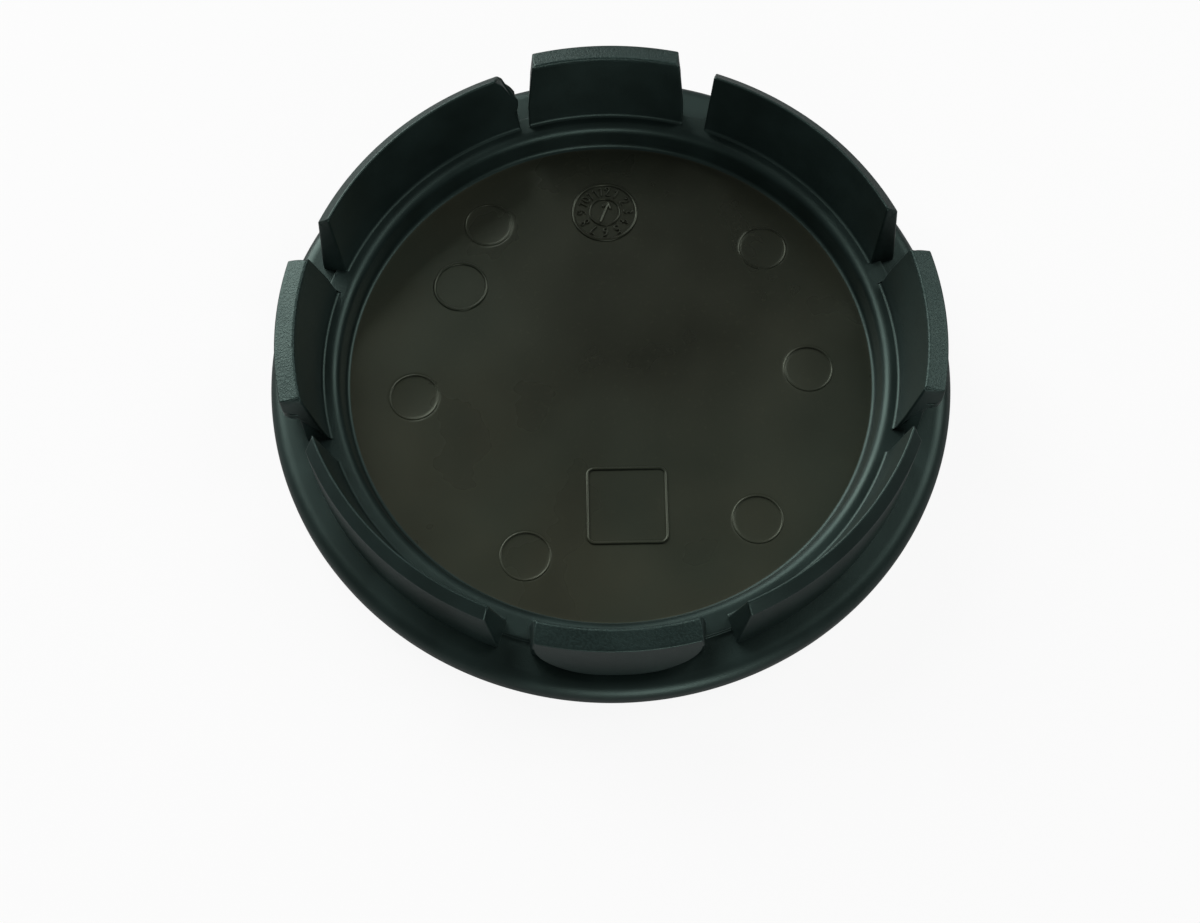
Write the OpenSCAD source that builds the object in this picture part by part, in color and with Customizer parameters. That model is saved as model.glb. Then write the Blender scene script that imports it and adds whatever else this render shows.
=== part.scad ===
// Centre cap of a car wheel, seen from the side that goes into the wheel.
// The cap is one moulding. It lies on its front face, with the claws pointing up.
// The origin is the middle of the front face, +Z points towards the claw tips and
// the four hooked claws stand on the X and Y axes.

/* [Cover] */
// Diameter of the round cover
cover_d = 56; // [55.5:0.5:58]
// Thickness of the cover at its rim
cover_t = 3.2; // [3:0.1:3.8]
// Radius of the rim's edge on the claw side
back_round = 1.2; // [0.4:0.1:1.4]
// Radius of the rim's edge on the front
front_round = 1.6; // [0.4:0.1:1.6]
// Diameter of the shallow seat for an emblem in the front face
seat_d = 50.4; // [40:0.2:51]
// Depth of the emblem seat
seat_depth = 0.4; // [0.2:0.1:0.6]
// Thickness of the plate between the emblem seat and the floor of the recess
plate_t = 0.9; // [0.8:0.1:1.1]

/* [Recess] */
// Diameter of the recess at its mouth, level with the ledge
recess_d = 44.6; // [43:0.2:45]
// Lean of the recess wall away from upright, in degrees
wall_draft = 10; // [5:1:16]
// Radius of the fillet round the floor
floor_round = 0.9; // [0.3:0.1:1.2]
// Radius of the edge between the wall and the ledge
ledge_round = 0.45; // [0.2:0.05:0.6]

/* [Ring] */
// Outer diameter of the ring that carries the claws
ring_d = 49; // [48.4:0.2:50]
// Height of the ring's ledge above the back of the cover
ledge_h = 0.45; // [0.3:0.05:0.9]
// Width of the flat strip of ledge inside the claws
ledge_strip = 0.05; // [0.05:0.05:0.4]
// Radius of the fillet between the ledge and the claws' inner faces
foot_round = 0.9; // [0.5:0.1:1.1]

/* [Hooked claws] */
// Clip diameter, across the pads of opposite claws
clip_d = 53; // [52.4:0.1:53.4]
// Height of the hooked claws' inner tip edge above the back of the cover
hook_rise = 7.35; // [6.5:0.05:9]
// Fall of the end face from its inner edge to its outer edge
hook_fall = 0.5; // [0.2:0.05:1]
// Thickness of a hooked claw at its tip
hook_tip_t = 1.65; // [1.3:0.05:1.9]
// How far a pad stands out from the stem that carries it
pad_proud = 1.1; // [0.6:0.1:1.3]
// Gap between the back of the cover and the lower edge of a pad
pad_gap = 0.2; // [0.1:0.1:1]
// Width of a pad
pad_w = 13.2; // [12:0.1:13.6]
// Radius of a pad's two lower corners, seen from outside
pad_corner = 5.2; // [3:0.1:5.6]
// Radius of a pad's lower edge, seen from the side
pad_edge = 0.6; // [0.3:0.05:0.8]

/* [Plain claws] */
// Diameter across the plain claws, at the outer edge of their tips
plain_d = 51.4; // [51:0.1:52.4]
// Height of the plain claws' inner tip edge above the back of the cover
plain_rise = 7; // [6:0.05:8.5]
// Fall of the bevelled end face from its inner edge to its outer edge
plain_fall = 0.8; // [0.3:0.05:1.2]
// Thickness of a plain claw at its tip
plain_tip_t = 0.95; // [0.8:0.05:1.3]

/* [Notches] */
// Angle between a hooked claw's axis and the notch on each side of it
notch_angle = 18.2; // [17.5:0.1:20]
// Width of a notch at the ledge
notch_w = 2.4; // [2:0.1:2.8]
// Height above the ledge up to which a hooked claw's sides stand upright
hook_side_h = 2.4; // [1:0.1:4]
// Lean of a hooked claw's sides above that height, in degrees
hook_draft = 11; // [4:1:14]
// Lean of a plain claw's ends, in degrees
plain_draft = 10; // [4:1:12]
// Radius of the tip corners of all claws
tip_round = 0.8; // [0.3:0.1:1]

/* [Broken corner] */
// How far the broken claw's stump reaches into its notch, past a sound claw
stump_w = 1.5; // [0.6:0.1:1.6]
// Height of the stump above the ledge, up to where the piece broke off
stump_h = 3.5; // [2:0.1:4]

/* [Ejector marks] */
// Diameter of the marks left by the ejector pins
mark_d = 4.1; // [3:0.1:4.5]
// Depth of the marks in the floor
mark_depth = 0.2; // [0.1:0.05:0.3]
// Distance of the marks from the axis
mark_r = 17.2; // [16:0.1:17.5]

/* [Hidden] */
$fn = 96;

hook_count = 4;
// Directions of the ejector marks, as they stand in the real moulding
mark_angles = [0, 41, 126, 187, 245, 312];
// Allowance for cuts that run past the faces they open
over = 1;
// Depth of the claws' roots in the cover
root = 0.5;
// Clearance by which a cut's shoulders stay above the claw tips
tip_clear = 0.03;

cover_r = cover_d / 2;
floor_z = seat_depth + plate_t;
ledge_z = cover_t + ledge_h;
root_z = cover_t - root;
hook_tip_z = cover_t + hook_rise;
plain_tip_z = cover_t + plain_rise;
pad_low_z = cover_t + pad_gap;
top_z = max(hook_tip_z, plain_tip_z) + over;
// Angle by which a plain claw's blank runs past the notch axes beside it
blank_lap = 1.2;
plain_sweep = 360 / hook_count - 2 * notch_angle + 2 * blank_lap;

// Centres of the three fillets in the half section: at the floor, at the ledge's
// edge and at the claws' feet. Each one touches the two faces that it joins.
wall_turn = 1 / cos(wall_draft) - tan(wall_draft);
floor_mid = [recess_d / 2 - (ledge_z - floor_z) * tan(wall_draft) - floor_round * wall_turn,
             floor_z + floor_round];
edge_mid = [recess_d / 2 + ledge_round * wall_turn, ledge_z - ledge_round];
// The feet's fillets bite a hair into both faces instead of only touching them.
foot_bite = 0.998 * foot_round;
foot_mid = [edge_mid[0] + ledge_strip, ledge_z + foot_bite];

// Claw colour, a blue-black matt plastic
body_colour = [0.09, 0.11, 0.11];

// A point at a distance r from a centre, in the direction of an angle
function around(mid, r, angle) = mid + r * [cos(angle), sin(angle)];

// Where a straight line from a point touches the right-hand side of a circle
function touch(mid, r, from) =
    let (d = from - mid, turn = atan2(d[1], d[0]) - acos(r / norm(d)))
        around(mid, r, turn);

// Half section of the cover: a disc with two rounded edges at its rim
module cover_section() {
    front_mid = [cover_r - front_round, front_round];
    back_mid = [cover_r - back_round, cover_t - back_round];
    polygon([[0, 0], [front_mid[0], 0], front_mid, [cover_r, front_round],
             [cover_r, back_mid[1]], back_mid, [back_mid[0], cover_t], [0, cover_t]]);
    translate(front_mid) circle(front_round);
    translate(back_mid) circle(back_round);
}

// Half section of what is taken out of the cover and the ring on the claw side:
// a leaning wall with a fillet at the floor and a rounded edge at the ledge
module recess_section() {
    difference() {
        union() {
            polygon([[0, floor_z], [floor_mid[0], floor_z], floor_mid,
                     around(floor_mid, floor_round, -wall_draft),
                     around(edge_mid, ledge_round, 180 - wall_draft), edge_mid,
                     [edge_mid[0], ledge_z + over], [0, ledge_z + over]]);
            translate(floor_mid) circle(floor_round);
        }
        translate(edge_mid) circle(ledge_round);
    }
}

// Cover and ring, turned in one piece
module cover_and_ring() {
    rotate_extrude() difference() {
        union() {
            cover_section();
            translate([0, floor_z]) square([ring_d / 2, ledge_z - floor_z]);
        }
        recess_section();
        translate([0, -over]) square([seat_d / 2, seat_depth + over]);
    }
}

// Half section of a claw. A hollow fillet leads from the ledge into the inner face,
// which leans outwards to the tip and ends in a sloping end face.
module claw_section(tip, outer) {
    difference() {
        polygon(concat([[foot_mid[0], root_z], foot_mid, touch(foot_mid, foot_bite, tip), tip],
                       outer));
        translate(foot_mid) circle(foot_round);
    }
}

// Half section of the stem of a hooked claw, up to the middle of its end face
module stem_section() {
    tip = [clip_d / 2 - hook_tip_t, hook_tip_z];
    mid_tip = tip + [hook_tip_t / 2, -hook_fall / 2];
    stem_r = clip_d / 2 - pad_proud;
    claw_section(tip, [mid_tip, [stem_r, pad_low_z + pad_corner], [stem_r, root_z]]);
}

// Half section of the pad on a hooked claw, with its lower edge rounded
module pad_section() {
    pad_r = clip_d / 2;
    in_r = pad_r - hook_tip_t;
    edge = [pad_r - pad_edge, pad_low_z + pad_edge];
    polygon([[in_r, hook_tip_z], [pad_r, hook_tip_z - hook_fall], [pad_r, edge[1]], edge,
             [edge[0], pad_low_z], [in_r, pad_low_z]]);
    translate(edge) circle(pad_edge);
}

// Outline of a pad from outside: upright sides and two large lower corners
module pad_outline() {
    half_w = pad_w / 2;
    mid = [half_w - pad_corner, pad_low_z + pad_corner];
    low = pad_low_z - over;
    polygon([[-half_w, top_z], [-half_w, mid[1]], [-mid[0], mid[1]], [-mid[0], low],
             [mid[0], low], mid, [half_w, mid[1]], [half_w, top_z]]);
    for (side = [-1, 1]) translate([side * mid[0], mid[1]]) circle(pad_corner);
}

// Outline of a claw's end beside a notch, with a rounded tip corner. Up to a height
// of straight_h above the ledge it stands upright, and then it leans away.
module claw_end(draft, straight_h, tip_z) {
    foot_w = notch_w / 2;
    bend_z = ledge_z + straight_h;
    mid_z = tip_z + tip_clear - tip_round;
    mid_x = foot_w + (mid_z - bend_z) * tan(draft) + tip_round / cos(draft);
    translate([mid_x, mid_z]) circle(tip_round);
    polygon([[foot_w, root_z - 2 * over], [foot_w, bend_z],
             around([mid_x, mid_z], tip_round, 180 - draft), [mid_x, mid_z],
             [mid_x, tip_z + tip_clear], [2 * notch_w + over, tip_z + tip_clear],
             [2 * notch_w + over, root_z - 2 * over]]);
}

// The same outline at the broken claw: a stump stands in the notch below a ragged edge
module broken_end() {
    foot_w = notch_w / 2;
    break_z = ledge_z + stump_h;
    tip_h = plain_tip_z - break_z;
    polygon([[foot_w - stump_w, root_z - 2 * over],
             [foot_w - stump_w, break_z - 0.6 * stump_h],
             [foot_w - 0.87 * stump_w, break_z - 0.3 * stump_h],
             [foot_w - 0.7 * stump_w, break_z],
             [foot_w, break_z + 0.42 * tip_h],
             [foot_w + 0.2 * stump_w, break_z + 0.82 * tip_h],
             [foot_w + 0.6 * stump_w, plain_tip_z + tip_clear],
             [2 * notch_w + over, plain_tip_z + tip_clear],
             [2 * notch_w + over, root_z - 2 * over]]);
}

// A notch, cut outwards along the X axis; the hooked claw lies on its -Y side
module notch(broken) {
    half_w = 2 * notch_w;
    rotate([90, 0, 90]) translate([0, 0, foot_mid[0] - over])
        linear_extrude(cover_r - foot_mid[0] + 2 * over) difference() {
            translate([-half_w, root_z - over]) square([2 * half_w, top_z - root_z + over]);
            mirror([1, 0]) claw_end(hook_draft, hook_side_h, hook_tip_z);
            if (broken) broken_end();
            else claw_end(plain_draft, 0, plain_tip_z);
        }
}

// One hooked claw on the +X axis, between the notches on both sides of it
module hooked_claw() {
    difference() {
        union() {
            rotate([0, 0, -notch_angle]) rotate_extrude(angle = 2 * notch_angle)
                stem_section();
            intersection() {
                rotate([0, 0, -notch_angle]) rotate_extrude(angle = 2 * notch_angle)
                    pad_section();
                rotate([90, 0, 90]) linear_extrude(cover_r) pad_outline();
            }
        }
        rotate([0, 0, notch_angle]) notch(false);
        mirror([0, 1, 0]) rotate([0, 0, notch_angle]) notch(false);
    }
}

// One plain claw, from the notch after the hooked claw on the +X axis to the next one.
// Its blank runs into both notches, because a broken claw's stump stands in one.
module plain_claw(broken_before) {
    tip = [plain_d / 2 - plain_tip_t, plain_tip_z];
    difference() {
        rotate([0, 0, notch_angle - blank_lap]) rotate_extrude(angle = plain_sweep)
            claw_section(tip, [tip + [plain_tip_t, -plain_fall], [plain_d / 2, root_z]]);
        rotate([0, 0, notch_angle]) notch(broken_before);
        rotate([0, 0, 360 / hook_count - notch_angle]) mirror([0, 1, 0]) notch(false);
    }
}

// The ring of claws: hooked and plain ones in turn, parted by the notches.
// The plain claw after the second hooked one has the broken corner.
module claws() {
    for (i = [0 : hook_count - 1]) rotate([0, 0, i * 360 / hook_count]) {
        hooked_claw();
        plain_claw(i == 1);
    }
}

// Shallow round marks where the ejector pins pushed on the floor
module ejector_marks() {
    for (a = mark_angles)
        rotate([0, 0, a]) translate([mark_r, 0, floor_z - mark_depth])
            cylinder(d = mark_d, h = mark_depth + over);
}

// The whole moulding
module claw_body() {
    color(body_colour) {
        difference() {
            cover_and_ring();
            ejector_marks();
        }
        claws();
    }
}

claw_body();
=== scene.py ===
"""Centre cap of a car wheel, lying on its front face with its claws up.

Lengths in the comments are in millimetres; the meshes are in metres.
"""

import bmesh
import bpy
import numpy as np
from mathutils import Matrix, Vector


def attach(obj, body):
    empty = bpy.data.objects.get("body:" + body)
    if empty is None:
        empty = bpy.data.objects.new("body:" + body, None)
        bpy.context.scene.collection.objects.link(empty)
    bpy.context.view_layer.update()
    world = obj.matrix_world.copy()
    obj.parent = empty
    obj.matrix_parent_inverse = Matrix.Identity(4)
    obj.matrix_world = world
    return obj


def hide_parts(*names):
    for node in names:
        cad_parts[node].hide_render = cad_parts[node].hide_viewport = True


bl_info = {
    "name": "Wheel centre cap",
    "version": (1, 0, 0),
    "blender": (4, 5, 0),
    "location": "View3D > Sidebar > Cap",
    "description": "Builds a wheel centre cap, its finishes and a plain studio",
    "category": "Add Mesh",
}

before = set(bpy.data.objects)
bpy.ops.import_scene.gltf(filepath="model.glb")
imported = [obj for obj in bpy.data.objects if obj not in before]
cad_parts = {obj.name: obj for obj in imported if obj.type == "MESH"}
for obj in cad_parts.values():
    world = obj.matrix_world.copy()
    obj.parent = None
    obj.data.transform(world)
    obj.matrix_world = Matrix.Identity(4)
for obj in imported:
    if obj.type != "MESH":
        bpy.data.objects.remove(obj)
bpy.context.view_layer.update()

MM = 0.001
BODY = "root"
NODE = "claw_body"
CLAWS_OF_A_KIND = 4
QUARTER_TURN = 90

# In metres: the least length to divide by, the distance at which points become one, and
# the length at which an edge counts as none.
SMALL, MERGED, NO_EDGE = 1e-9, 2e-7, 1e-8

# Points on each arc of a section, columns round the cover and across each kind of claw,
# and steps round a claw's end edges.
COVER_ARC, CLAW_ARC = 8, 6
COVER_COLUMNS, HOOK_COLUMNS, PLAIN_COLUMNS = 600, 61, 81
EDGE_STEPS = 4


def length(name, default, text):
    """A property that holds a length in metres; its default is given in millimetres."""
    return bpy.props.FloatProperty(
        name=name, description=text, default=default * MM, min=0.0, unit="LENGTH", precision=5
    )


def angle(name, default, text):
    """A property that holds an angle; its default is given in degrees."""
    return bpy.props.FloatProperty(
        name=name, description=text, default=np.radians(default), unit="ROTATION"
    )


def colour(name, default, text):
    """A property that holds a linear colour."""
    return bpy.props.FloatVectorProperty(
        name=name, description=text, default=default, size=3, min=0.0, max=1.0, subtype="COLOR"
    )


class CoverSizes(bpy.types.PropertyGroup):
    """Sizes of the cover, the ring on its back and the recess."""

    rim_r: length("Rim", 28.0, "Radius of the cover")
    thickness: length("Thickness", 3.2, "Thickness of the cover at its rim")
    back_round: length("Back edge", 1.2, "Radius of the rim's edge on the claw side")
    front_round: length("Front edge", 1.6, "Radius of the rim's edge on the front")
    seat_r: length("Seat", 25.2, "Radius of the emblem seat in the front")
    seat_depth: length("Seat depth", 0.4, "Depth of the emblem seat")
    floor_z: length("Floor", 1.3, "Height of the recess floor")
    floor_round: length("Floor fillet", 0.4, "Radius of the fillet round the floor")
    recess_r: length("Recess", 22.3, "Radius of the recess at its mouth")
    wall_lean: angle("Wall lean", 10.0, "Lean of the recess wall away from upright")
    ledge_z: length("Ledge", 3.65, "Height of the ring's ledge")
    ledge_round: length("Ledge edge", 0.8, "Radius of the ledge's inner edge")
    ring_r: length("Ring", 24.5, "Outer radius of the ring")
    crease: length("Crease", 0.1, "Radius of the small edges and corners")
    mark_r: length("Mark", 2.0, "Radius of an ejector mark")
    mark_ring: length("Slanting marks", 17.5, "Distance of four ejector marks from the axis")
    side_ring: length("Side marks", 16.4, "Distance of the two side marks from the axis")
    mark_depth: length("Mark depth", 0.06, "Depth of an ejector mark at its edge")
    mark_dish: length("Mark dish", 0.05, "Further depth of an ejector mark in its middle")
    mark_edge: length("Mark edge", 0.3, "Width of an ejector mark's sloping edge")


class MarkSizes(bpy.types.PropertyGroup):
    """Sizes of the raised mould marks on the recess floor."""

    line_w: length("Line width", 0.28, "Width of a raised line")
    line_h: length("Line height", 0.15, "Height of a raised line")
    dial_r: length("Dial", 2.75, "Radius of the mould's date dial")
    dial_y: length("Dial place", 15.25, "Distance of the dial from the axis")
    number_h: length("Numbers", 0.78, "Height of the dial's numbers")
    ring_r: length("Ring", 2.2, "Radius of the plain ring")
    ring_x: length("Ring place, left", 12.6, "How far left of the axis the ring is")
    ring_y: length("Ring place, up", 8.2, "How far beyond the axis the ring is")
    frame_w: length("Frame", 6.35, "Width of the plain frame")
    frame_y: length("Frame place", 11.85, "How far before the axis the frame is")
    lip_w: length("Lip width", 0.18, "Width of the raised lip round an ejector mark")
    lip_h: length("Lip height", 0.05, "Height of that lip")


class ClawSizes(bpy.types.PropertyGroup):
    """Sizes of the claws and the notches between them."""

    clip_r: length("Clip radius", 26.5, "Distance of the pads from the axis")
    hook_tip_z: length("Hook tip", 10.55, "Height of a hooked claw's inner tip edge")
    hook_fall: length("Hook fall", 0.5, "Fall of a hooked claw's end face")
    hook_tip_t: length("Hook tip thickness", 1.65, "Thickness of a hooked claw's tip")
    pad_proud: length("Pad step", 1.1, "How far a pad stands out from its stem")
    pad_low_z: length("Pad foot", 3.4, "Height of a pad's lower edge")
    pad_edge: length("Pad edge", 0.6, "Radius of a pad's lower edge")
    pad_w: length("Pad width", 13.2, "Width of a pad")
    pad_corner: length("Pad corner", 5.2, "Radius of a pad's two lower corners")
    plain_r: length("Plain radius", 25.7, "Distance of the plain claws' outer faces")
    plain_tip_z: length("Plain tip", 10.2, "Height of a plain claw's inner tip edge")
    plain_fall: length("Plain fall", 0.8, "Fall of a plain claw's end face")
    plain_tip_t: length("Plain tip thickness", 0.95, "Thickness of a plain claw's tip")
    foot_r: length("Foot", 23.6, "Distance of the inner faces from the axis at the ledge")
    foot_round: length("Foot fillet", 0.3, "Radius of the fillet at the claws' feet")
    low_r: length("Foot end", 23.34, "Distance from the axis at which the fillet's piece ends")
    root_z: length("Root", 2.7, "Height at which the claws end inside the cover")
    hook_w: length("Hook width", 13.3, "Width of a hooked claw at its foot")
    hook_tip_round: length("Hook corner", 0.4, "Radius of a hooked claw's tip corners")
    notch_angle: angle("Notch angle", 18.2, "Angle between a hook's axis and its notches")
    plain_back: length("Plain end", 1.2, "Distance of a plain claw's end from that line")
    hook_side_h: length("Hook side", 2.4, "Height of the upright part of a hook's sides")
    hook_draft: angle("Hook draft", 6.0, "Lean of a hook's sides above that")
    plain_tip_round: length("Plain corner", 0.35, "Radius of a plain claw's tip corners")
    stump_w: length("Stump", 1.3, "Reach of the broken claw's stump into its notch")
    stump_h: length("Stump height", 3.5, "Height of the stump above the ledge")
    edge: length("Edge", 0.13, "Radius of the claws' worn edges")


class FinishColours(bpy.types.PropertyGroup):
    """Colours of the plastic."""

    ring: colour("Ring and claws", (0.0072, 0.0132, 0.0124), "Matt blue-black plastic")
    # floor_plastic darkens this tone in the floor's middle as painted shade and lightens it
    # towards the rim as painted light.
    floor: colour("Floor", (0.0195, 0.0205, 0.0135), "Rubbed floor of the recess")
    # Greener patches of random noise. They show only where the floor has painted light towards
    # its rim.
    rubbed: colour("Patches", (0.0190, 0.0290, 0.0215), "Greener patches on that floor")


class StudioSizes(bpy.types.PropertyGroup):
    """The camera and the stage floor's colour."""

    lens: bpy.props.FloatProperty(
        name="Lens", description="Focal length", default=54.53, unit="CAMERA"
    )
    distance: length("Distance", 150.0, "Distance of the camera from the cap's middle")
    look_z: length("Aim height", 2.45, "Height that the camera looks at")
    elevation: angle("Elevation", 64.94, "Camera's height above the horizon")
    azimuth: angle("Azimuth", 1.6, "Camera's turn round the cap")
    roll: angle("Roll", 0.5, "Camera's turn about its own axis")
    floor_colour: colour("Floor", (0.38, 0.38, 0.38), "Colour of the floor")


def cover_sizes():
    """The cover's sizes in this scene."""
    return bpy.context.scene.cap_cover


def claw_sizes():
    """The claws' sizes in this scene."""
    return bpy.context.scene.cap_claws


def grid_faces(rows, cols, wrap_rows=False, wrap_cols=False):
    """Quads between neighbouring points of a grid that is stored row by row."""
    i = np.arange(rows if wrap_rows else rows - 1)[:, None]
    j = np.arange(cols if wrap_cols else cols - 1)[None, :]
    i2, j2 = (i + 1) % rows, (j + 1) % cols
    quads = np.stack([i * cols + j, i * cols + j2, i2 * cols + j2, i2 * cols + j], axis=-1)
    return quads.reshape(-1, 4)


def unit(v):
    """Each vector divided by its own length."""
    return v / np.maximum(np.linalg.norm(v, axis=-1, keepdims=True), SMALL)


def rounded_path(corners, radii, runs, arc_n):
    """A path through corners, with a true arc of its own radius at each inner corner.

    corners is (k, columns, 2): every column is a path of its own. The arc at a corner
    touches both straight runs: it starts radius * tan(turn / 2) before the corner.
    runs gives, for each straight run, the shares of its length that get points, and
    arc_n is the number of points on each arc.
    """
    corners = np.asarray(corners, float)
    pieces = [corners[:1]]
    start = corners[0]
    for k in range(1, len(corners) - 1):
        before = unit(corners[k] - corners[k - 1])
        after = unit(corners[k + 1] - corners[k])
        turn = np.arctan2(
            before[:, 0] * after[:, 1] - before[:, 1] * after[:, 0],
            (before * after).sum(axis=1),
        )
        touch = corners[k] - before * (radii[k] * np.tan(np.abs(turn) / 2))[:, None]
        side = np.stack([-before[:, 1], before[:, 0]], axis=1) * np.sign(turn)[:, None]
        centre = touch + side * radii[k]
        first = np.arctan2(-side[:, 1], -side[:, 0])
        share = np.linspace(0, 1, arc_n)[:, None]
        at = first + turn * share
        arc = centre + radii[k] * np.stack([np.cos(at), np.sin(at)], axis=-1)
        along = np.asarray(runs[k - 1])[:, None, None]
        pieces += [start + (touch - start) * along, arc]
        start = arc[-1]
    along = np.asarray(runs[-1])[:, None, None]
    pieces += [start + (corners[-1] - start) * along, corners[-1:]]
    return np.concatenate(pieces)


def even(n):
    """n shares inside a run, at equal steps."""
    return np.linspace(0, 1, n + 2)[1:-1]


def held(n):
    """n shares inside a run, closer together near both ends."""
    return 0.5 - 0.5 * np.cos(np.pi * even(n))


def across(n):
    """n shares from 0 to 1, closer together near both ends."""
    return 0.5 - 0.5 * np.cos(np.linspace(0, np.pi, n))


def add_piece(name, points, faces, materials, slots=None):
    """A closed mesh from points and quads, merged, turned outwards and shaded smooth."""
    mesh = bpy.data.meshes.new(name)
    mesh.from_pydata(points.reshape(-1, 3), [], faces.tolist())
    for material in materials:
        mesh.materials.append(material)
    if slots is not None:
        mesh.polygons.foreach_set("material_index", slots.astype(np.int32))
    work = bmesh.new()
    work.from_mesh(mesh)
    bmesh.ops.remove_doubles(work, verts=work.verts, dist=MERGED)
    bmesh.ops.dissolve_degenerate(work, dist=NO_EDGE, edges=work.edges)
    bmesh.ops.recalc_face_normals(work, faces=work.faces)
    work.to_mesh(mesh)
    work.free()
    mesh.polygons.foreach_set("use_smooth", np.ones(len(mesh.polygons), bool))
    piece = bpy.data.objects.new(name, mesh)
    bpy.context.scene.collection.objects.link(piece)
    return piece


def cover_profile(s):
    """Half section of the cover, from the axis on the front round to the axis on top."""
    lean = np.tan(s.wall_lean)
    wall_foot = s.recess_r - (s.ledge_z - s.floor_z) * lean
    mark_in = s.side_ring - s.mark_r - 2 * s.mark_edge
    mark_out = s.mark_ring + s.mark_r + 2 * s.mark_edge
    corners = [
        (0, s.seat_depth), (s.seat_r, s.seat_depth), (s.seat_r, 0), (s.rim_r, 0),
        (s.rim_r, s.thickness), (s.ring_r, s.thickness), (s.ring_r, s.ledge_z),
        (s.recess_r, s.ledge_z), (wall_foot, s.floor_z), (0, s.floor_z),
    ]
    fine = s.crease
    radii = [0, fine, fine, s.front_round, s.back_round, fine, fine, s.ledge_round,
             s.floor_round, 0]
    fillet_end = wall_foot - s.floor_round
    outer_n, marks_n, inner_n = 6, 46, 12
    rim_side = np.linspace(fillet_end, mark_out, outer_n)[1:-1]
    marks = np.linspace(mark_out, mark_in, marks_n)
    inside = np.linspace(mark_in, 0, inner_n)[1:-1]
    floor = 1 - np.concatenate([rim_side, marks, inside]) / fillet_end
    runs = [even(8), [], held(3), held(2), held(5), [], held(4), held(4), floor]
    path = rounded_path(np.array(corners)[:, None, :], radii, runs, COVER_ARC)
    return path[:, 0, :]


# Directions of the ejector marks, in degrees from +X.
SLANT_MARKS = (41, 126, 246, 311)
SIDE_MARKS = (0, 187)


def mark_middles(s):
    """Middles of the ejector marks: radius * (cos, sin) of each one's direction."""
    turn = np.radians(np.array(SLANT_MARKS + SIDE_MARKS))
    radius = np.array([s.mark_ring] * len(SLANT_MARKS) + [s.side_ring] * len(SIDE_MARKS))
    return np.stack([radius * np.cos(turn), radius * np.sin(turn)], axis=-1)


def sunk(x, y, s):
    """Depth of the ejector marks at a place on the floor.

    Across a mark's sloping edge the step follows 3 t^2 - 2 t^3, where t is the share of
    the edge's width. Inside, the dish adds mark_dish * (1 - (gap / mark_r)^2).
    """
    depth = np.zeros_like(x)
    for middle in mark_middles(s):
        gap = np.hypot(x - middle[0], y - middle[1])
        t = np.clip((s.mark_r - gap) / s.mark_edge + 0.5, 0, 1)
        dish = np.maximum(1 - (gap / s.mark_r) ** 2, 0)
        depth = np.maximum(depth, s.mark_depth * t * t * (3 - 2 * t) + s.mark_dish * dish)
    return depth


def build_cover(materials):
    """The cover: its half section carried round the axis in equal steps.

    Points within a small share of the floor fillet above the floor count as floor: they
    sink with the ejector marks and get the floor's finish.
    """
    s = cover_sizes()
    path = cover_profile(s)
    a = np.linspace(0, 2 * np.pi, COVER_COLUMNS, endpoint=False)
    r, z = path[:, 0][:, None], path[:, 1][:, None]
    x, y = r * np.cos(a), r * np.sin(a)
    z = np.broadcast_to(z, x.shape).copy()
    on_floor = np.arange(len(path)) > np.argmax(path[:, 1] >= s.ledge_z - SMALL)
    level = 0.02 * s.floor_round
    on_floor &= path[:, 1] < s.floor_z + level
    z[on_floor] -= sunk(x[on_floor], y[on_floor], s)
    faces = grid_faces(len(path), COVER_COLUMNS, wrap_cols=True)
    below = on_floor[:-1] & on_floor[1:]
    slots = np.repeat(below.astype(np.int32), COVER_COLUMNS)
    return add_piece("cover", np.stack([x, y, z], axis=-1), faces, materials, slots)


def leaning(z, foot, draft, straight_h, tip_z, corner):
    """Distance from a line to a claw's end, as a function of height.

    It is foot up to straight_h above the ledge, then grows with tan(draft), and at last
    follows a circle of the corner's radius that touches this line and the tip's height.
    """
    bend = cover_sizes().ledge_z + straight_h
    mid_z = tip_z - corner
    mid_x = foot + (mid_z - bend) * np.tan(draft) + corner / np.cos(draft)
    touch_z = mid_z + corner * np.sin(draft)
    line = foot + np.maximum(z - bend, 0) * np.tan(draft)
    rise = np.clip(z - mid_z, -corner, corner)
    arc = mid_x - np.sqrt(np.maximum(corner**2 - rise**2, 0))
    return np.where(z > touch_z, arc, line)


# The broken end's outline: height above the ledge as a share of the stump's height, and
# reach into the notch as a share of the stump's reach.
BREAK = ((0.14, 0.88), (0.54, 0.72), (0.83, 1.0), (1.03, 0.88), (1.23, 0.42), (1.5, 0.25),
         (1.7, -0.1), (1.87, -0.4))
ROUGHNESS = 0.045 * MM
ROUGH_FROM = 2 * MM
FIRST_WAVE = (0.21 * MM, 0.165 * MM)
SECOND_WAVE = (0.4 * MM, 0.17 * MM)


def broken_edge(z, r):
    """Distance from the notch's middle line to the broken claw's end.

    Straight pieces join a few heights and distances. sin(z / a + r / b) + sin(r / d - z / c)
    roughens the break, where (a, b) and (c, d) are the two waves.
    """
    c, s = cover_sizes(), claw_sizes()
    heights, reach = np.array(BREAK).T
    heights = c.ledge_z + s.stump_h * heights
    rough = np.clip((z - heights[0]) / ROUGH_FROM, 0, 1)
    wave = np.sin(z / FIRST_WAVE[0] + r / FIRST_WAVE[1])
    wave += np.sin(r / SECOND_WAVE[1] - z / SECOND_WAVE[0])
    line = np.interp(z, heights, s.plain_back - s.stump_w * reach)
    return line + ROUGHNESS * rough * wave


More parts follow.
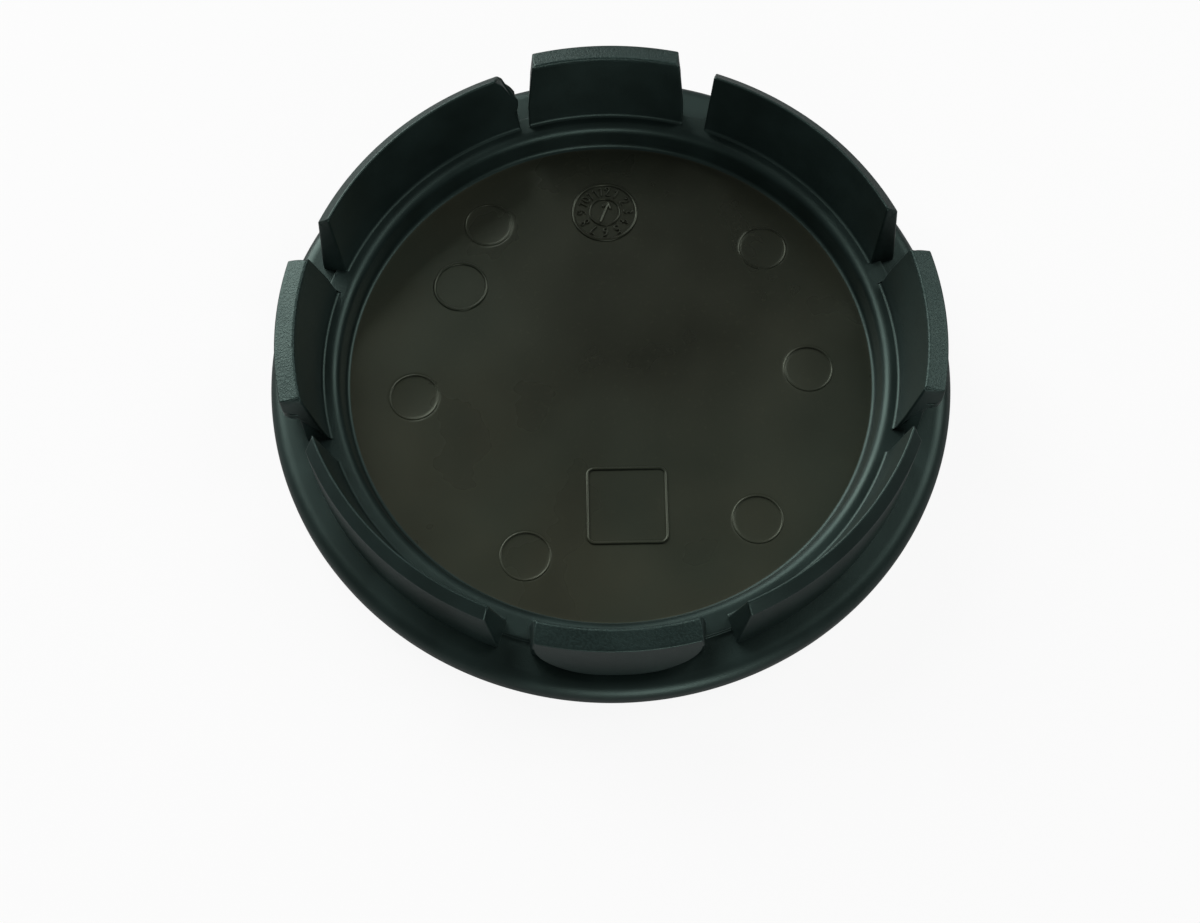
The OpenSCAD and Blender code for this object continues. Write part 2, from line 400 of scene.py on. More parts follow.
def claw_surface(path, limits, columns, edge):
    """Points of a claw: a half section carried round the axis between two limits.

    path is the closed half section as (points, columns, 2), running up the outside and
    down the inside. limits(r, z) gives the first and last angle at each point. The
    columns are shares of the way between them. At both ends the section shrinks by
    edge * (1 - cos t) while it moves on by edge * sin t, which rounds the edge.
    """
    back, ahead = np.roll(path, 1, axis=0), np.roll(path, -1, axis=0)
    along = unit(ahead - back)
    inward = np.stack([-along[..., 1], along[..., 0]], axis=-1)
    area = 0.5 * (path[..., 0] * ahead[..., 1] - ahead[..., 0] * path[..., 1]).sum(axis=0)
    inward *= np.sign(area)[:, None]
    turn = np.linspace(0, np.pi / 2, EDGE_STEPS)
    rings = []
    ends = [(0, turn[::-1]), (-1, turn)]
    r, z = path[..., 0], path[..., 1]
    first, last = limits(r, z)
    slide = edge / r
    middle_first, middle_last = first + slide, last - slide
    body = middle_first + (middle_last - middle_first) * columns
    body_points = np.stack([r * np.cos(body), r * np.sin(body), z], axis=-1)
    for column, steps in ends:
        for t in steps:
            p = path[:, column] + inward[:, column] * edge * (1 - np.cos(t))
            on = edge * np.sin(t) / p[:, 0]
            at = middle_last[:, -1] + on if column else middle_first[:, 0] - on
            ring = [p[:, 0] * np.cos(at), p[:, 0] * np.sin(at), p[:, 1]]
            rings.append(np.stack(ring, axis=-1))
    low = np.stack(rings[:EDGE_STEPS], axis=1)
    high = np.stack(rings[EDGE_STEPS:], axis=1)
    return np.concatenate([low[:, :-1], body_points, high[:, 1:]], axis=1)


# Places of the web's points between a claw's outer and inner half.
WEB = (0, 0.06, 0.3, 0.7, 0.94, 1)


def add_claw(name, points, material):
    """A closed claw from its rings of points, with a web of quads across each end.

    The web's first and last rows keep to the ring's own points, so its rim has no others.
    """
    n, m = points.shape[:2]
    half = n // 2
    faces = [grid_faces(n, m, wrap_rows=True)]
    every = [points.reshape(-1, 3)]
    count = n * m
    share = np.tile(WEB, (half, 1))
    share[[0, -1]] = np.round(share[[0, -1]])
    for column in (0, m - 1):
        ring = points[:, column]
        outer, inner = ring[:half][:, None], ring[::-1][:half][:, None]
        web = outer + (inner - outer) * share[:, :, None]
        every.append(web.reshape(-1, 3))
        faces.append(grid_faces(half, web.shape[1]) + count)
        count += web.shape[0] * web.shape[1]
    return add_piece(name, np.concatenate(every), np.concatenate(faces), [material])


def turned(points, degrees):
    """Points turned about the axis."""
    a = np.radians(degrees)
    c, s = np.cos(a), np.sin(a)
    return points @ np.array([[c, s, 0], [-s, c, 0], [0, 0, 1]])


# How much of a pad's corner its outline follows, which keeps it short of upright, and how
# much rounder the inner tip edge is than the other edges.
CORNER_SHARE = 0.995
INNER_EDGE = 1.6


def hook_paths(columns):
    """Half section of a hooked claw for each column across it.

    Outside, the stem runs up to the pad's lower edge, whose height follows the pad's
    rounded outline: flat in the middle and a quarter circle at each side. The hidden root
    ends in a shallow V.
    """
    c, s = cover_sizes(), claw_sizes()
    tip = (s.clip_r - s.hook_tip_t, s.hook_tip_z)
    foot_r, low_r = s.foot_r, s.low_r
    beside = np.abs(2 * columns - 1) * s.hook_w / 2
    over = np.clip(beside - (s.pad_w / 2 - s.pad_corner), 0, s.pad_corner * CORNER_SHARE)
    low_z = s.pad_low_z + s.pad_corner - np.sqrt(s.pad_corner**2 - over**2)
    one = np.ones_like(columns)
    stem = s.clip_r - s.pad_proud
    keel = s.root_z - s.edge
    points = [
        (0.5 * (stem + low_r) * one, keel * one), (stem * one, s.root_z * one),
        (stem * one, low_z), (s.clip_r * one, low_z),
        (s.clip_r * one, (s.hook_tip_z - s.hook_fall) * one), (tip[0] * one, tip[1] * one),
        (foot_r * one, c.ledge_z * one), (low_r * one, c.ledge_z * one),
        (low_r * one, s.root_z * one), (0.5 * (stem + low_r) * one, keel * one),
    ]
    corners = np.array([np.stack(p, axis=-1) for p in points])
    fine = s.edge
    radii = [0, 0, fine, s.pad_edge, fine, fine * INNER_EDGE, s.foot_round, 0, 0, 0]
    runs = [[], held(8), [], held(11), held(9), held(15), [], [], []]
    return rounded_path(corners, radii, runs, CLAW_ARC)[:-1]


def plain_path(columns):
    """Half section of a plain claw, the same for each column across it."""
    c, s = cover_sizes(), claw_sizes()
    tip = (s.plain_r - s.plain_tip_t, s.plain_tip_z)
    foot_r, low_r = s.foot_r, s.low_r
    keel = (0.5 * (s.plain_r + low_r), s.root_z - s.edge)
    points = [
        keel, (s.plain_r, s.root_z), (s.plain_r, s.plain_tip_z - s.plain_fall),
        tip, (foot_r, c.ledge_z), (low_r, c.ledge_z), (low_r, s.root_z), keel,
    ]
    corners = np.array(points)[:, None, :] * np.ones((1, len(columns), 1))
    fine = s.edge
    radii = [0, 0, fine, fine, s.foot_round, 0, 0, 0]
    runs = [[], held(30), held(7), held(30), [], [], []]
    return rounded_path(corners, radii, runs, CLAW_ARC)[:-1]


def build_hook(index, material):
    """A hooked claw with two parallel sides, turned into its place."""
    s = claw_sizes()

    def limits(r, z):
        in_by = leaning(z, 0, s.hook_draft, s.hook_side_h, s.hook_tip_z, s.hook_tip_round)
        half = np.arcsin((s.hook_w / 2 - in_by) / r)
        return -half, half

    columns = across(HOOK_COLUMNS)
    points = claw_surface(hook_paths(columns), limits, columns, s.edge)
    points = turned(points, QUARTER_TURN * index)
    return add_claw("hooked_claw_%d" % (index + 1), points, material)


# Lean in degrees and slant of each plain claw's two ends, as in the real moulding.
PLAIN_ENDS = (((11, 0), (2, 0)), ((8, 0), (9, 0)), ((1, 0.8), (6, 0.1)), ((6, 0.1), (1, 0.8)))


def build_plain(index, material):
    """A plain claw, turned into its place. The second one has the broken corner.

    An end's distance from the middle line of its notch is the leaning one, plus its
    slant times the depth inside the wall, counted from the inner face.
    """
    c, s = cover_sizes(), claw_sizes()
    broken = index == 1

    def limits(r, z):
        up = (z - c.ledge_z) / (s.plain_tip_z - c.ledge_z)
        inner = s.foot_r + np.clip(up, 0, 1) * (s.plain_r - s.plain_tip_t - s.foot_r)
        inside = np.clip(up, 0, 1) * np.maximum(r - inner, 0)
        ends = [
            leaning(z, s.plain_back, np.radians(lean), 0, s.plain_tip_z, s.plain_tip_round)
            + slant * inside
            for lean, slant in PLAIN_ENDS[index]
        ]
        begin = broken_edge(z, r) if broken else ends[0]
        first = s.notch_angle + np.arcsin(begin / r)
        last = np.pi / 2 - s.notch_angle - np.arcsin(ends[1] / r)
        return first, last

    columns = across(PLAIN_COLUMNS)
    points = claw_surface(plain_path(columns), limits, columns, s.edge)
    points = turned(points, QUARTER_TURN * index)
    return add_claw("plain_claw_%d" % (index + 1), points, material)


# Paths of the numerals in a cell that is 0.6 wide and 1 high.
CELL_W = 0.6
STROKES = {
    "0": [(0.3, 1), (0.08, 0.85), (0.02, 0.5), (0.08, 0.15), (0.3, 0), (0.52, 0.15),
          (0.58, 0.5), (0.52, 0.85), (0.3, 1)],
    "1": [(0.1, 0.76), (0.36, 1), (0.36, 0)],
    "2": [(0.04, 0.76), (0.12, 0.94), (0.3, 1), (0.5, 0.92), (0.56, 0.72), (0.44, 0.48),
          (0.04, 0), (0.58, 0)],
    "3": [(0.04, 0.9), (0.28, 1), (0.52, 0.9), (0.52, 0.66), (0.28, 0.54), (0.56, 0.4),
          (0.55, 0.12), (0.3, 0), (0.04, 0.1)],
    "4": [(0.45, 0), (0.45, 1), (0.02, 0.3), (0.6, 0.3)],
    "5": [(0.54, 1), (0.12, 1), (0.08, 0.56), (0.32, 0.63), (0.54, 0.5), (0.56, 0.24),
          (0.42, 0.03), (0.2, 0), (0.04, 0.1)],
    "6": [(0.5, 0.95), (0.26, 0.88), (0.07, 0.52), (0.06, 0.2), (0.2, 0.01), (0.42, 0.02),
          (0.57, 0.22), (0.5, 0.48), (0.3, 0.56), (0.1, 0.4)],
    "7": [(0.03, 1), (0.57, 1), (0.22, 0)],
    "8": [(0.3, 0.54), (0.08, 0.72), (0.14, 0.95), (0.3, 1), (0.46, 0.95), (0.52, 0.72),
          (0.3, 0.54), (0.04, 0.3), (0.12, 0.05), (0.3, 0), (0.48, 0.05), (0.56, 0.3),
          (0.3, 0.54)],
    "9": [(0.1, 0.05), (0.34, 0.12), (0.53, 0.48), (0.54, 0.8), (0.4, 0.99), (0.18, 0.98),
          (0.03, 0.78), (0.1, 0.52), (0.3, 0.44), (0.5, 0.6)],
}


# Steps along a raised line's rounded end and points over its section.
END_STEPS, SECTION_N = 4, 9

# Steps along each side of a numeral's path and rounds of softening its bends.
SIDE_STEPS, SOFTENINGS = 5, 4

# Points round a circle and round a corner of the plain frame.
CIRCLE_N, CORNER_N = 96, 9


def ridge(path, z, width, height, closed):
    """A raised line: a half ellipse on a flat foot, carried along a path on the floor.

    At each place the section is width * s / 2 * cos a across and height * s * sin a up.
    s is 1 along the path; at an open end it falls as sqrt(1 - t^2), while the section
    moves on by width / 2 * t, which rounds the end off.
    """
    path = np.asarray(path, float)
    if closed:
        ahead = unit(np.roll(path, -1, axis=0) - np.roll(path, 1, axis=0))
        size = np.ones(len(path))
    else:
        ahead = unit(np.gradient(path, axis=0))
        t = np.sin(np.linspace(0, np.pi / 2, END_STEPS + 1))[1:]
        reach = (t * width / 2)[:, None]
        fall = np.sqrt(np.maximum(1 - t * t, 0))
        begin, end = path[0] - ahead[0] * reach[::-1], path[-1] + ahead[-1] * reach
        path = np.concatenate([begin, path, end])
        size = np.concatenate([fall[::-1], np.ones(len(ahead)), fall])
        ahead = np.pad(ahead, ((END_STEPS, END_STEPS), (0, 0)), mode="edge")
    side = np.stack([-ahead[:, 1], ahead[:, 0]], axis=-1)
    a = np.linspace(0, np.pi, SECTION_N)
    aside = np.concatenate([np.cos(a), [-1, 1]]) * width / 2
    up = np.concatenate([np.sin(a) * height, [-height / 2, -height / 2]])
    flat = path[:, None, :] + side[:, None, :] * (aside[None, :] * size[:, None])[..., None]
    rise = z + np.where(up > 0, up[None, :] * size[:, None], up[None, :])
    points = np.concatenate([flat, rise[..., None]], axis=-1)
    return points, grid_faces(len(path), len(aside), wrap_rows=closed, wrap_cols=True)


def eased(points, size):
    """A path through a numeral's corners, its sides cut in steps and its bends softened.

    In one round of softening a point becomes 1/4 of the one before, 1/2 of itself and
    1/4 of the next.
    """
    points = np.asarray(points, float) * size
    sides = len(points) - 1
    at = np.arange(len(points))
    steps = np.linspace(0, sides, SIDE_STEPS * sides + 1)
    path = np.stack([np.interp(steps, at, points[:, k]) for k in (0, 1)], axis=-1)
    for _ in range(SOFTENINGS):
        path[1:-1] = 0.25 * path[:-2] + 0.5 * path[1:-1] + 0.25 * path[2:]
    return path


def circle(r):
    """Points round a circle."""
    a = np.linspace(0, 2 * np.pi, CIRCLE_N, endpoint=False)
    return r * np.stack([np.cos(a), np.sin(a)], axis=-1)


def add_marks(name, middle, lines, material, height):
    """One piece from several raised lines; lines holds (path, closed, share of the width)."""
    s, floor_z = bpy.context.scene.cap_marks, cover_sizes().floor_z
    points, faces, count = [], [], 0
    for path, closed, share in lines:
        p, f = ridge(np.asarray(path) + middle, floor_z, s.line_w * share, height, closed)
        points.append(p.reshape(-1, 3))
        faces.append(f + count)
        count += len(points[-1])
    return add_piece(name, np.concatenate(points), np.concatenate(faces), [material])


# The dial's inner ring and its arrow's half length, as shares of the ring outside each;
# a digit's step to the next and its narrowing; the arrow's direction; its barbs' turn in
# radians and their length as a share of the arrow's half length; points along both.
INNER_RING, ARROW_REACH = 0.47, 0.8
DIGIT_STEP, DIGIT_NARROW = 0.72, 0.85
ARROW = np.array([0.35, 0.94])
BARB_TURN, BARB_LENGTH = 2.6, 0.6
ARROW_N, BARB_N = 8, 5

# Widths of the dial's lines, as shares of the line width.
RIM_LINE, INNER_LINE, DIGIT_LINE = 1.1, 0.7, 0.5


def dial_lines(s):
    """A date dial: two rings, a number for each month, and an arrow."""
    inner = INNER_RING * s.dial_r
    lines = [(circle(s.dial_r), True, RIM_LINE), (circle(inner), True, INNER_LINE)]
    for month in range(1, 13):
        turn = np.radians(90 - 30 * month)
        out = np.array([np.cos(turn), np.sin(turn)])
        along = np.array([out[1], -out[0]])
        text = str(month)
        width = CELL_W + DIGIT_STEP * (len(text) - 1)
        for k, digit in enumerate(text):
            path = eased(STROKES[digit], s.number_h)
            x = path[:, 0] * DIGIT_NARROW + (DIGIT_STEP * k - width / 2) * s.number_h
            y = path[:, 1] - 0.5 * s.number_h + 0.5 * (inner + s.dial_r)
            lines.append((x[:, None] * along + y[:, None] * out, False, DIGIT_LINE))
    tip = ARROW_REACH * inner
    shaft = np.linspace(-tip, tip, ARROW_N)[:, None] * ARROW
    lines.append((shaft, False, 1.0))
    for turn in (BARB_TURN, -BARB_TURN):
        c, w = np.cos(turn), np.sin(turn)
        barb = ARROW @ np.array([[c, w], [-w, c]]) * BARB_LENGTH * tip
        lines.append((shaft[-1] + np.linspace(0, 1, BARB_N)[:, None] * barb, False, 1.0))
    return lines


def frame_path(width, corner):
    """Points round a square with rounded corners."""
    half = width / 2 - corner
    a = np.linspace(0, np.pi / 2, CORNER_N)
    arc = corner * np.stack([np.cos(a), np.sin(a)], axis=-1)
    sides = []
    for k in range(4):
        c, w = np.cos(k * np.pi / 2), np.sin(k * np.pi / 2)
        sides.append((arc + half) @ np.array([[c, w], [-w, c]]))
    return np.concatenate(sides)


PLASTIC_IOR = 1.5

# Tints of the reflections, and gains on a finish's own colour: its darker and lighter
# clouds, and its worn specks or dust. On the floor the darker clouds are painted shade in
# its middle and the lighter clouds are painted light towards its rim.
RING_GLOSS = (0.68, 1.0, 0.89, 1.0)
FLOOR_GLOSS = (0.88, 1.0, 0.78, 1.0)
RING_CLOUDS, RING_WORN = (0.75, 1.25), 1.8
PAINTED_SHADE_CLOUDS, PAINTED_LIGHT_CLOUDS, FLOOR_DUST = (0.35, 0.6), (1.3, 1.8), 2.0

# Heights between which the coarse grain of the tips sets in.
GRAIN_FROM, GRAIN_FULL = 10.0 * MM, 10.15 * MM

# Middle of the floor's painted shade, and how far from it the painted light towards the
# rim starts and is full.
PAINTED_SHADE_MIDDLE = (4 * MM, 7 * MM)
PAINTED_LIGHT_FROM, PAINTED_LIGHT_FULL = 6 * MM, 25 * MM

# Noise of a scratch: long in one direction; the two sets' turns are in radians.
SCRATCH = {"scale": 900, "rough": 0.6, "stretch": (1, 0.05, 1)}
SCRATCH_TURNS = (0.7, -0.5)

# Sockets of a Mix node that mixes colours.
MIX_A, MIX_B, MIX_RESULT = 6, 7, 2

# The stage floor's shares of plain white for the camera and for mirrored rays, and how
# bright that white is.
DIRECT_WHITE, MIRRORED_WHITE, WHITE_LEVEL = 0.84, 0.1, 1.09


class Graph:
    """A material's nodes, made by short calls."""

    def __init__(self, name):
        self.material = bpy.data.materials.new(name)
        self.material.use_nodes = True
        self.nodes = self.material.node_tree.nodes
        self.links = self.material.node_tree.links
        self.nodes.clear()
        self.shader = self.nodes.new("ShaderNodeBsdfPrincipled")
        self.out = self.nodes.new("ShaderNodeOutputMaterial")
        self.links.new(self.shader.outputs[0], self.out.inputs[0])
        self.place = self.nodes.new("ShaderNodeTexCoord").outputs["Object"]

    def put(self, value, socket):
        """Sets a socket to a number or colour, or links it to an output."""
        if isinstance(value, bpy.types.NodeSocket):
            self.links.new(value, socket)
        else:
            socket.default_value = value

    def height(self):
        """Height above the front face."""
        split = self.nodes.new("ShaderNodeSeparateXYZ")
        self.put(self.place, split.inputs[0])
        return split.outputs["Z"]

    def reach(self, x, y):
        """Distance from an upright line through (x, y)."""
        flat = self.nodes.new("ShaderNodeVectorMath")
        flat.operation = "MULTIPLY_ADD"
        self.put(self.place, flat.inputs[0])
        flat.inputs[1].default_value = (1, 1, 0)
        flat.inputs[2].default_value = (-x, -y, 0)
        size = self.nodes.new("ShaderNodeVectorMath")
        size.operation = "LENGTH"
        self.put(flat.outputs[0], size.inputs[0])
        return size.outputs["Value"]

    def noise(self, scale, detail=2.0, rough=0.5, stretch=(1, 1, 1), turn=0.0):
        """Noise on Object coordinates, stretched and turned; scale is in waves per metre."""
        mapping = self.nodes.new("ShaderNodeMapping")
        mapping.inputs["Scale"].default_value = stretch
        mapping.inputs["Rotation"].default_value = (0, 0, turn)
        self.put(self.place, mapping.inputs["Vector"])
        node = self.nodes.new("ShaderNodeTexNoise")
        self.put(mapping.outputs[0], node.inputs["Vector"])
        node.inputs["Scale"].default_value = scale
        node.inputs["Detail"].default_value = detail
        node.inputs["Roughness"].default_value = rough
        return node.outputs["Fac"]

    def ramp(self, value, low, high, at_low=0.0, at_high=1.0):
        """A value mapped from one range onto another and held inside it."""
        node = self.nodes.new("ShaderNodeMapRange")
        self.put(value, node.inputs["Value"])
        node.inputs["From Min"].default_value = low
        node.inputs["From Max"].default_value = high
        node.inputs["To Min"].default_value = at_low
        node.inputs["To Max"].default_value = at_high
        return node.outputs[0]

    def math(self, kind, a, b):
        """Two values joined by one kind of arithmetic."""
        node = self.nodes.new("ShaderNodeMath")
        node.operation = kind
        self.put(a, node.inputs[0])
        self.put(b, node.inputs[1])
        return node.outputs[0]

    def mix(self, share, a, b):
        """One colour blended into another."""
        node = self.nodes.new("ShaderNodeMix")
        node.data_type = "RGBA"
        self.put(share, node.inputs[0])
        self.put(a, node.inputs[MIX_A])
        self.put(b, node.inputs[MIX_B])
        return node.outputs[MIX_RESULT]

    def bump(self, height, distance, strength, below=None):
        """A bump of a real height, on top of another one if there is one."""
        node = self.nodes.new("ShaderNodeBump")
        node.inputs["Strength"].default_value = strength
        node.inputs["Distance"].default_value = distance
        self.put(height, node.inputs["Height"])
        if below is not None:
            self.put(below, node.inputs["Normal"])
        return node.outputs[0]

    def plastic(self, base, rough, normal, gloss):
        """Sets the shader up as a plastic and gives its material."""
        inputs = self.shader.inputs
        self.put(base, inputs["Base Color"])
        self.put(rough, inputs["Roughness"])
        self.put(normal, inputs["Normal"])
        inputs["IOR"].default_value = PLASTIC_IOR
        inputs["Specular Tint"].default_value = gloss
        return self.material


def rgba(value, gain=1.0):
    """A linear colour with its alpha, made lighter or darker by a gain."""
    return tuple(v * gain for v in value) + (1.0,)


def ring_plastic():
    """Matt moulded plastic: fine grain all over and a coarser spark grain on the tips."""
    tone = bpy.context.scene.cap_finish.ring
    g = Graph("ring_plastic")
    cloud = g.ramp(g.noise(scale=190, detail=3.0), low=0.35, high=0.65)
    tip = g.ramp(g.height(), low=GRAIN_FROM, high=GRAIN_FULL)
    speck = g.ramp(g.noise(scale=5200, rough=0.7), low=0.42, high=0.62)
    worn = g.math("MULTIPLY", tip, speck)
    base = g.mix(cloud, *(rgba(tone, gain) for gain in RING_CLOUDS))
    base = g.mix(worn, base, rgba(tone, RING_WORN))
    rough = g.ramp(cloud, low=0, high=1, at_low=0.37, at_high=0.45)
    grain = g.noise(scale=9000, detail=3.0, rough=0.6)
    fine = g.bump(grain, distance=0.02 * MM, strength=0.5)
    normal = g.bump(worn, distance=0.03 * MM, strength=0.45, below=fine)
    return g.plastic(base, rough, normal, RING_GLOSS)


def floor_plastic():
    """Slightly glossier plastic with faint clouds, dust and two sets of scratches, darker in
    its middle as painted shade and lighter towards its rim as painted light.
    """
    s = bpy.context.scene.cap_finish
    tone = s.floor
    g = Graph("floor_plastic")
    cloud = g.ramp(g.noise(scale=110, detail=3.0), low=0.25, high=0.75)
    dust = g.ramp(g.noise(scale=2600, rough=0.6), low=0.6, high=0.75, at_high=0.25)
    one_way = g.ramp(g.noise(turn=SCRATCH_TURNS[0], **SCRATCH), low=0.66, high=0.7)
    other_way = g.ramp(g.noise(turn=SCRATCH_TURNS[1], **SCRATCH), low=0.68, high=0.72)
    scratch = g.math("MAXIMUM", one_way, other_way)
    # Painted light: the floor is darker near a point by its middle as painted shade and lighter
    # towards its rim as painted light. The greener patches come in only in that lighter part.
    rubbed = g.ramp(g.reach(*PAINTED_SHADE_MIDDLE), low=PAINTED_LIGHT_FROM, high=PAINTED_LIGHT_FULL)
    dark = g.mix(cloud, *(rgba(tone, gain) for gain in PAINTED_SHADE_CLOUDS))
    patch = g.ramp(g.noise(scale=75), low=0.38, high=0.66, at_high=0.6)
    olive = g.mix(cloud, *(rgba(tone, gain) for gain in PAINTED_LIGHT_CLOUDS))
    pale = g.mix(patch, olive, rgba(s.rubbed))
    base = g.mix(rubbed, dark, pale)
    base = g.mix(dust, base, rgba(tone, FLOOR_DUST))
    rough = g.ramp(cloud, low=0, high=1, at_low=0.25, at_high=0.33)
    grain = g.noise(scale=6000, detail=3.0, rough=0.6)
    fine = g.bump(grain, distance=0.01 * MM, strength=0.35)
    normal = g.bump(scratch, distance=0.02 * MM, strength=-0.3, below=fine)
    return g.plastic(base, rough, normal, FLOOR_GLOSS)


def stage_floor():
    """Pale floor: mostly plain white to the camera, so the cap's shadow stays faint."""
    g = Graph("studio_floor")
    tone = bpy.context.scene.cap_studio.floor_colour
    g.put(rgba(tone), g.shader.inputs["Base Color"])
    g.shader.inputs["Roughness"].default_value = 1.0
    g.shader.inputs["Specular IOR Level"].default_value = 0.0
    rays = g.nodes.new("ShaderNodeLightPath").outputs
    mirrored = g.math("MAXIMUM", rays["Is Glossy Ray"], rays["Is Transmission Ray"])
    direct = g.math("MULTIPLY", rays["Is Camera Ray"], DIRECT_WHITE)
    white = g.nodes.new("ShaderNodeEmission")
    white.inputs["Strength"].default_value = WHITE_LEVEL
    both = g.nodes.new("ShaderNodeMixShader")
    mirrored = g.math("MULTIPLY", mirrored, MIRRORED_WHITE)
    g.put(g.math("MAXIMUM", direct, mirrored), both.inputs[0])
    g.put(g.shader.outputs[0], both.inputs[1])
    g.put(white.outputs[0], both.inputs[2])
    g.put(both.outputs[0], g.out.inputs[0])
    return g.material


def finish_of(name, make):
    """A finish by name, made the first time it is asked for."""
    return bpy.data.materials.get(name) or make()


# The picture's width in pixels, the camera's shift in those pixels, and its sensor's
# width in millimetres.
PICTURE_W, SHIFT = 1200, (-11.1, -95.6)
SENSOR_W = 36.0

# Level of the even light, and each lamp's name, azimuth and elevation in degrees,
# distance and size in metres, and power in watts.
EVEN_LIGHT = 0.14
LAMPS = (
    ("key", 130, 30, 0.6, 0.5, 4.2),
    ("side", 28, 46, 0.6, 0.3, 1.1),
    ("fill", -80, 13, 0.7, 0.3, 1.7),
)

# Half the stage floor's width in metres, and its gap under the cap.
FLOOR_HALF, FLOOR_GAP = 1.5, 0.02 * MM


def add_camera(s):
    """The camera: at a distance and two angles from the aim, then turned about its axis."""
    flat = np.cos(s.elevation) * s.distance
    aim = Vector((0, 0, s.look_z))
    place = aim + Vector(
        (-flat * np.sin(s.azimuth), -flat * np.cos(s.azimuth), np.sin(s.elevation) * s.distance)
    )
    data = bpy.data.cameras.new("camera")
    data.lens = s.lens
    data.sensor_width = SENSOR_W
    data.clip_start = 10 * MM
    data.shift_x = SHIFT[0] / PICTURE_W
    data.shift_y = SHIFT[1] / PICTURE_W
    camera = bpy.data.objects.new("camera", data)
    turn = (aim - place).to_track_quat("-Z", "Y").to_matrix().to_4x4()
    camera.matrix_world = Matrix.Translation(place) @ turn @ Matrix.Rotation(s.roll, 4, "Z")
    bpy.context.scene.collection.objects.link(camera)
    bpy.context.scene.camera = camera


def add_lamp(name, azimuth, elevation, distance, size, power):
    """A soft square lamp that looks at the cap from two angles."""
    data = bpy.data.lights.new(name, "AREA")
    data.size = size
    data.energy = power
    lamp = bpy.data.objects.new(name, data)
    a, e = np.radians(azimuth), np.radians(elevation)
    place = distance * Vector((np.cos(e) * np.cos(a), np.cos(e) * np.sin(a), np.sin(e)))
    turn = (-place).to_track_quat("-Z", "Y").to_matrix().to_4x4()
    lamp.matrix_world = Matrix.Translation(place) @ turn
    bpy.context.scene.collection.objects.link(lamp)


def add_floor():
    """A flat pale floor just under the cap."""
    half, low = FLOOR_HALF, -FLOOR_GAP
    mesh = bpy.data.meshes.new("studio_floor")
    corners = [(-half, -half, low), (half, -half, low), (half, half, low), (-half, half, low)]
    mesh.from_pydata(corners, [], [(0, 1, 2, 3)])
    mesh.materials.append(finish_of("studio_floor", stage_floor))
    floor = bpy.data.objects.new("studio_floor", mesh)
    bpy.context.scene.collection.objects.link(floor)


def set_world(level):
    """Even light from all round."""
    world = bpy.data.worlds.new("studio")
    world.use_nodes = True
    back = world.node_tree.nodes["Background"]
    back.inputs["Color"].default_value = (1, 1, 1, 1)
    back.inputs["Strength"].default_value = level
    bpy.context.scene.world = world


class CAP_OT_cover(bpy.types.Operator):
    """Builds the cover with its ring, recess and ejector marks"""

    bl_idname = "cap.cover"
    bl_label = "Cover"

    def execute(self, context):
        ring = finish_of("ring_plastic", ring_plastic)
        floor = finish_of("floor_plastic", floor_plastic)
        cover = build_cover([ring, floor])
        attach(cover, BODY)
        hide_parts(NODE)
        return {"FINISHED"}


class CAP_OT_marks(bpy.types.Operator):
    """Builds the raised mould marks: a date dial, a plain ring, a plain frame and lips"""

    bl_idname = "cap.marks"
    bl_label = "Mould marks"

    def execute(self, context):
        s = context.scene.cap_marks
        floor = finish_of("floor_plastic", floor_plastic)
        dial_x, frame_x, frame_corner = -0.25 * MM, s.frame_w / 6, 2 * s.line_w
        frame_line = frame_path(s.frame_w, frame_corner)
        for name, middle, lines in (
            ("date_dial", (dial_x, s.dial_y), dial_lines(s)),
            ("plain_ring", (-s.ring_x, s.ring_y), [(circle(s.ring_r), True, 1.0)]),
            ("plain_frame", (frame_x, -s.frame_y), [(frame_line, True, 1.0)]),
        ):
            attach(add_marks(name, np.array(middle), lines, floor, s.line_h), BODY)
        c, share = cover_sizes(), s.lip_w / s.line_w
        lips = [(circle(c.mark_r) + m, True, share) for m in mark_middles(c)]
        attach(add_marks("mark_lips", np.zeros(2), lips, floor, s.lip_h), BODY)
        return {"FINISHED"}


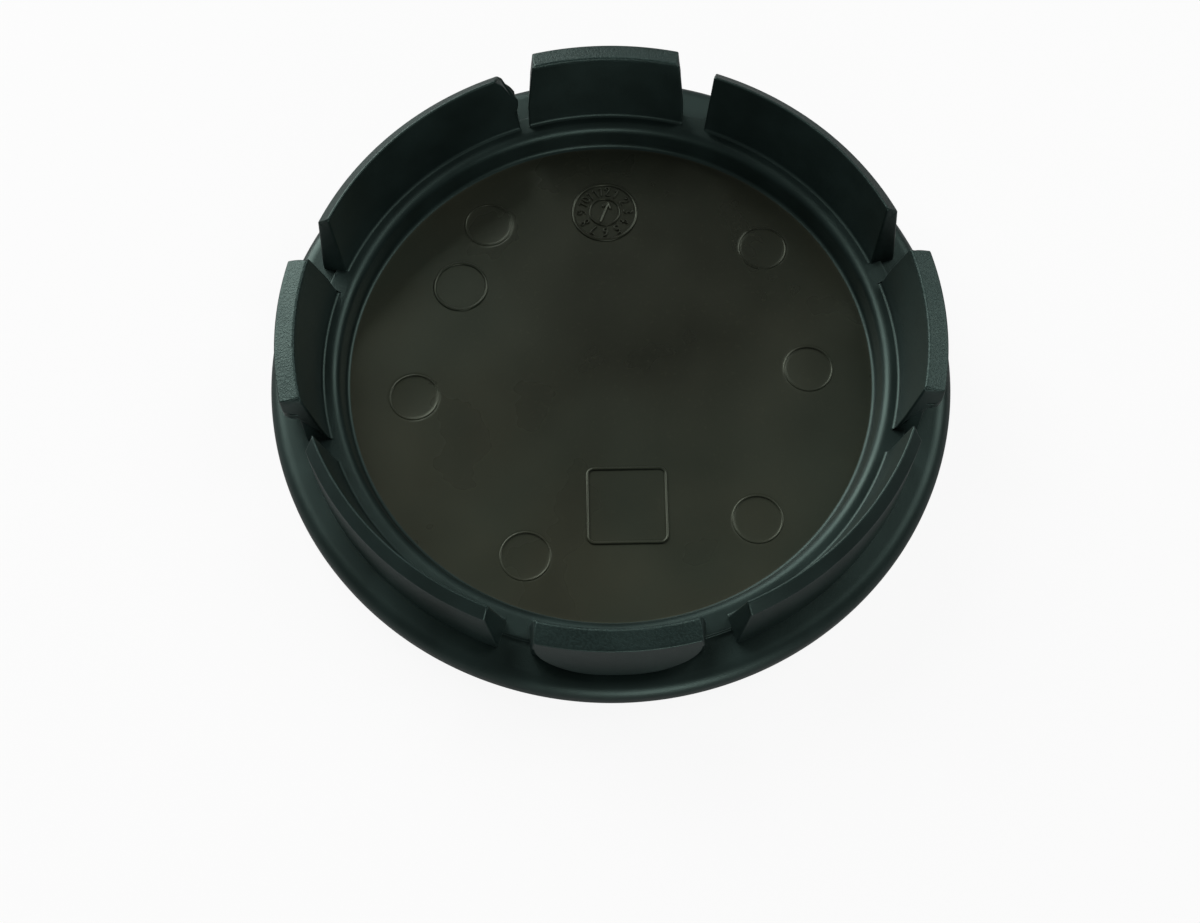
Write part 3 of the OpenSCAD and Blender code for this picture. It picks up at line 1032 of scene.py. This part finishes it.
class CAP_OT_hooks(bpy.types.Operator):
    """Builds the four hooked claws"""

    bl_idname = "cap.hooks"
    bl_label = "Hooked claws"

    def execute(self, context):
        for index in range(CLAWS_OF_A_KIND):
            claw = build_hook(index, finish_of("ring_plastic", ring_plastic))
            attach(claw, BODY)
            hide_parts(NODE)
        return {"FINISHED"}


class CAP_OT_plains(bpy.types.Operator):
    """Builds the four plain claws, one of them with a broken corner"""

    bl_idname = "cap.plains"
    bl_label = "Plain claws"

    def execute(self, context):
        for index in range(CLAWS_OF_A_KIND):
            claw = build_plain(index, finish_of("ring_plastic", ring_plastic))
            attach(claw, BODY)
            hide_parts(NODE)
        return {"FINISHED"}


class CAP_OT_stage(bpy.types.Operator):
    """Sets up the camera, the lamps and the floor"""

    bl_idname = "cap.stage"
    bl_label = "Stage"

    def execute(self, context):
        add_camera(context.scene.cap_studio)
        add_floor()
        set_world(EVEN_LIGHT)
        for lamp in LAMPS:
            add_lamp(*lamp)
        context.scene.view_settings.view_transform = "Standard"
        return {"FINISHED"}


class CAP_PT_panel(bpy.types.Panel):
    """Lists the steps that build the cap"""

    bl_idname = "CAP_PT_panel"
    bl_label = "Wheel centre cap"
    bl_space_type = "VIEW_3D"
    bl_region_type = "UI"
    bl_category = "Cap"

    def draw(self, context):
        for step in STEPS:
            self.layout.operator(step.bl_idname)


STEPS = (CAP_OT_cover, CAP_OT_marks, CAP_OT_hooks, CAP_OT_plains, CAP_OT_stage)
GROUPS = {
    "cap_cover": CoverSizes,
    "cap_marks": MarkSizes,
    "cap_claws": ClawSizes,
    "cap_finish": FinishColours,
    "cap_studio": StudioSizes,
}


def register():
    for name, group in GROUPS.items():
        bpy.utils.register_class(group)
        setattr(bpy.types.Scene, name, bpy.props.PointerProperty(type=group))
    for item in STEPS + (CAP_PT_panel,):
        bpy.utils.register_class(item)


def unregister():
    for item in (CAP_PT_panel,) + STEPS[::-1]:
        bpy.utils.unregister_class(item)
    for name, group in GROUPS.items():
        delattr(bpy.types.Scene, name)
        bpy.utils.unregister_class(group)


def main():
    register()
    for step in STEPS:
        group, name = step.bl_idname.split(".")
        getattr(getattr(bpy.ops, group), name)()


if __name__ == "__main__":
    main()
